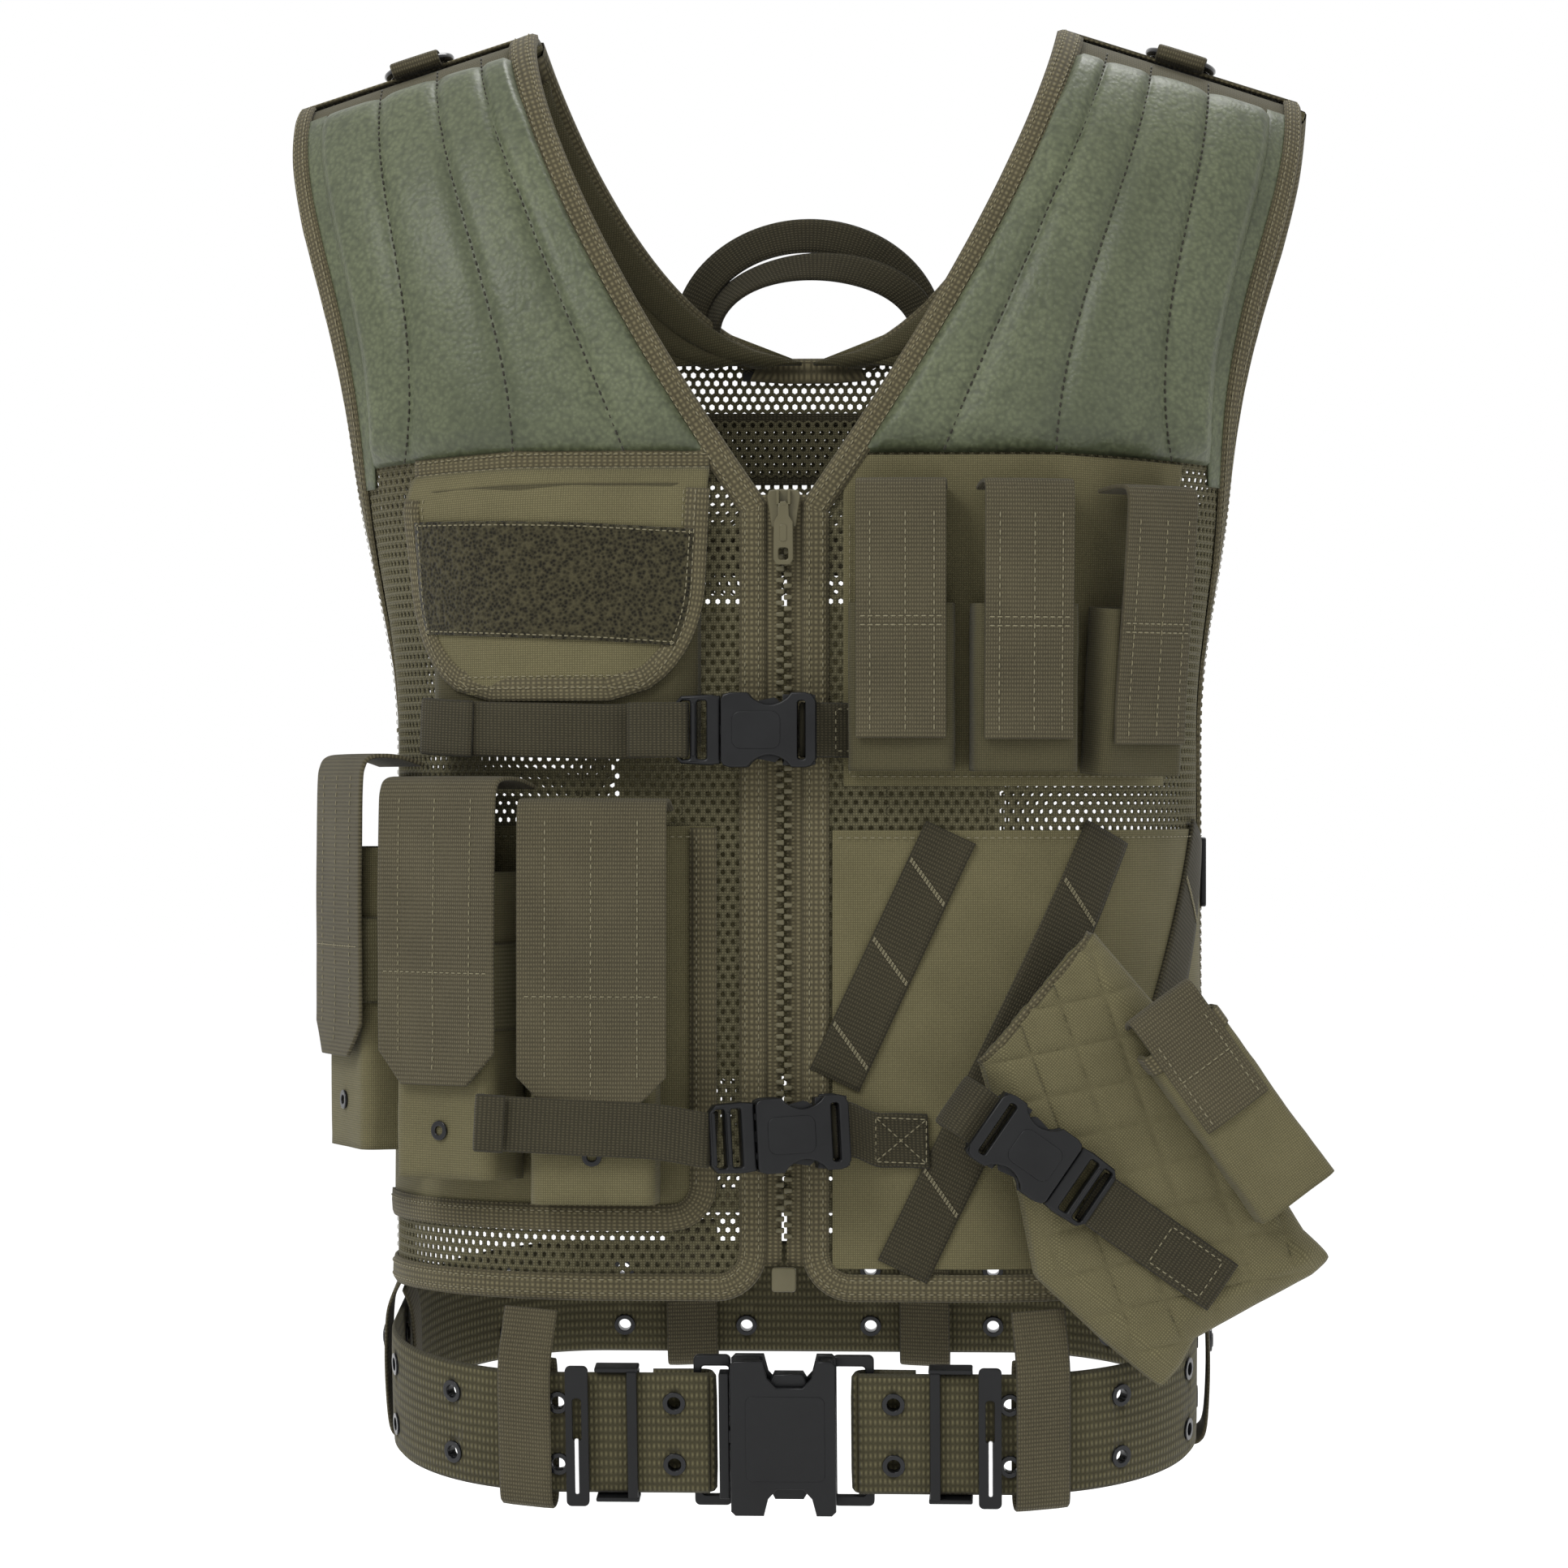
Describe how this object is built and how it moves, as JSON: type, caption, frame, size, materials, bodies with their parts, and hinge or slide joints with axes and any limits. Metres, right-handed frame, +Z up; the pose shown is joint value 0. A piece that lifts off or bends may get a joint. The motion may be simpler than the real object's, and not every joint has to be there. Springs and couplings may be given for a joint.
{
  "type": "load-carrying vest",
  "caption": "Sleeveless load-carrying vest with front zip, padded shoulders, flapped pouches, a slanted holster, two buckled straps and a hung webbing belt.",
  "frame": {"origin": "on the middle plane between the neck ends of the two shoulder seams, at the height of the seams' tops", "axes": "+X to the viewer's right as the front is looked at, -Y out of the front, +Z up"},
  "size_m": [0.4913, 0.2875, 0.6915],
  "materials": {
    "mesh_fabric": "matte",
    "nylon_fabric": "matte",
    "pad_leather": "satin",
    "binding_tape": "matte",
    "webbing": "matte",
    "buckle_plastic": "satin",
    "ring_plastic": "gloss",
    "zip_plastic": "satin",
    "black_metal": "satin",
    "hook_tape": "matte",
    "snap_metal": "satin"
  },
  "bodies": {
    "vest": {"front_panel_left": "mesh_fabric", "front_panel_right": "mesh_fabric", "back_panel": "mesh_fabric", "back_yoke_left": "nylon_fabric", "back_yoke_right": "nylon_fabric", "shoulder_pad_left": "pad_leather", "shoulder_pad_right": "pad_leather", "binding_left": "binding_tape", "binding_right": "binding_tape", "back_pocket": "nylon_fabric", "back_straps": "webbing", "side_sliders": "buckle_plastic", "carry_handle": "webbing", "shoulder_keepers": "webbing", "zip_tapes": "binding_tape", "zip_teeth_left": "zip_plastic", "zip_teeth_right": "zip_plastic", "zip_bottom_box": "zip_plastic", "utility_pouch": "nylon_fabric", "pistol_panel": "nylon_fabric", "pistol_pouches": "nylon_fabric", "rifle_panel": "nylon_fabric", "rifle_pouches": "nylon_fabric", "flap_roots": "webbing", "holster_panel": "nylon_fabric", "holster_hook_pad": "hook_tape", "holster_shell": "nylon_fabric", "holster_pouch": "nylon_fabric", "chest_straps": "webbing", "waist_straps": "webbing", "holster_straps": "webbing", "buckle_sockets": "buckle_plastic", "belt_webbing": "webbing", "eyelets": "black_metal", "belt_socket": "buckle_plastic", "belt_keepers": "buckle_plastic", "belt_hook_plates": "buckle_plastic", "belt_hangers": "webbing", "hanger_snaps": "snap_metal"},
    "zip_slider": {"zip_slider": "zip_plastic"},
    "zip_pull": {"zip_pull": "zip_plastic"},
    "chest_plug": {"chest_plug": "buckle_plastic", "chest_prongs": "buckle_plastic"},
    "waist_plug": {"waist_plug": "buckle_plastic", "waist_prongs": "buckle_plastic"},
    "holster_plug": {"holster_plug": "buckle_plastic", "holster_prongs": "buckle_plastic"},
    "belt_plug": {"belt_plug": "buckle_plastic", "belt_prongs": "buckle_plastic", "belt_ends": "webbing"},
    "shoulder_ring_left": {"shoulder_ring_left": "ring_plastic"},
    "shoulder_ring_right": {"shoulder_ring_right": "ring_plastic"},
    "utility_flap": {"utility_flap": "nylon_fabric"},
    "holster_pouch_flap": {"holster_pouch_flap": "webbing"},
    "pistol_flap_1": {"pistol_flap_1": "webbing"},
    "rifle_flap_1": {"rifle_flap_1": "webbing"},
    "pistol_flap_2": {"pistol_flap_2": "webbing"},
    "rifle_flap_2": {"rifle_flap_2": "webbing"},
    "pistol_flap_3": {"pistol_flap_3": "webbing"},
    "rifle_flap_3": {"rifle_flap_3": "webbing"}
  },
  "joints": [
    {"name": "zip_slide", "type": "slide", "parent": "vest", "child": "zip_slider", "axis": [0, 0, -1], "range_m": [0, 0.332]},
    {"name": "zip_pull_swing", "type": "hinge", "parent": "zip_slider", "child": "zip_pull", "pos_m": [0, -0.1354, -0.2315], "axis": [-1, 0, 0], "range_deg": [0, 165]},
    {"name": "chest_release", "type": "slide", "parent": "vest", "child": "chest_plug", "axis": [-1, 0, 0], "range_m": [0, 0.03], "deforming": ["chest_prongs", "chest_straps"]},
    {"name": "waist_release", "type": "slide", "parent": "vest", "child": "waist_plug", "axis": [-0.9646, -0.2588, -0.0505], "range_m": [0, 0.03], "deforming": ["waist_prongs", "waist_straps"]},
    {"name": "holster_release", "type": "slide", "parent": "vest", "child": "holster_plug", "axis": [0.8067, 0.1422, -0.5736], "range_m": [0, 0.03], "deforming": ["holster_prongs", "holster_straps"]},
    {"name": "belt_release", "type": "slide", "parent": "vest", "child": "belt_plug", "axis": [-1, 0, 0], "range_m": [0, 0.014], "deforming": ["belt_prongs", "belt_ends"]},
    {"name": "utility_flap_hinge", "type": "hinge", "parent": "vest", "child": "utility_flap", "pos_m": [-0.1235, -0.1372, -0.21397], "axis": [-0.9822, 0.1878, 0], "range_deg": [0, 120]},
    {"name": "pistol_flap_1_hinge", "type": "hinge", "parent": "vest", "child": "pistol_flap_1", "pos_m": [0.054, -0.15075, -0.221], "axis": [-1, 0, 0], "range_deg": [0, 150]},
    {"name": "pistol_flap_2_hinge", "type": "hinge", "parent": "vest", "child": "pistol_flap_2", "pos_m": [0.11177, -0.14992, -0.22151], "axis": [-0.9774, -0.2112, 0], "range_deg": [0, 150]},
    {"name": "pistol_flap_3_hinge", "type": "hinge", "parent": "vest", "child": "pistol_flap_3", "pos_m": [0.17129, -0.1288, -0.22406], "axis": [-0.7683, -0.6401, 0], "range_deg": [0, 150]},
    {"name": "rifle_flap_1_hinge", "type": "hinge", "parent": "vest", "child": "rifle_flap_1", "pos_m": [-0.08515, -0.15966, -0.367], "axis": [-0.9993, 0.0364, 0], "range_deg": [0, 130]},
    {"name": "rifle_flap_2_hinge", "type": "hinge", "parent": "vest", "child": "rifle_flap_2", "pos_m": [-0.15674, -0.13715, -0.35697], "axis": [-0.8404, 0.5419, 0], "range_deg": [0, 130]},
    {"name": "rifle_flap_3_hinge", "type": "hinge", "parent": "vest", "child": "rifle_flap_3", "pos_m": [-0.20845, -0.07775, -0.34643], "axis": [-0.4209, 0.9071, 0], "range_deg": [0, 130]},
    {"name": "holster_pouch_flap_hinge", "type": "hinge", "parent": "vest", "child": "holster_pouch_flap", "pos_m": [0.17107, -0.17059, -0.4572], "axis": [-0.7967, -0.1405, -0.5878], "range_deg": [0, 130]},
    {"name": "shoulder_ring_left_spin", "type": "hinge", "parent": "vest", "child": "shoulder_ring_left", "pos_m": [-0.18303, 0, -0.01374], "axis": [-0.3048, 0, 0.9524], "continuous": true},
    {"name": "shoulder_ring_right_spin", "type": "hinge", "parent": "vest", "child": "shoulder_ring_right", "pos_m": [0.18303, 0, -0.01374], "axis": [0.3048, 0, 0.9524], "continuous": true}
  ]
}
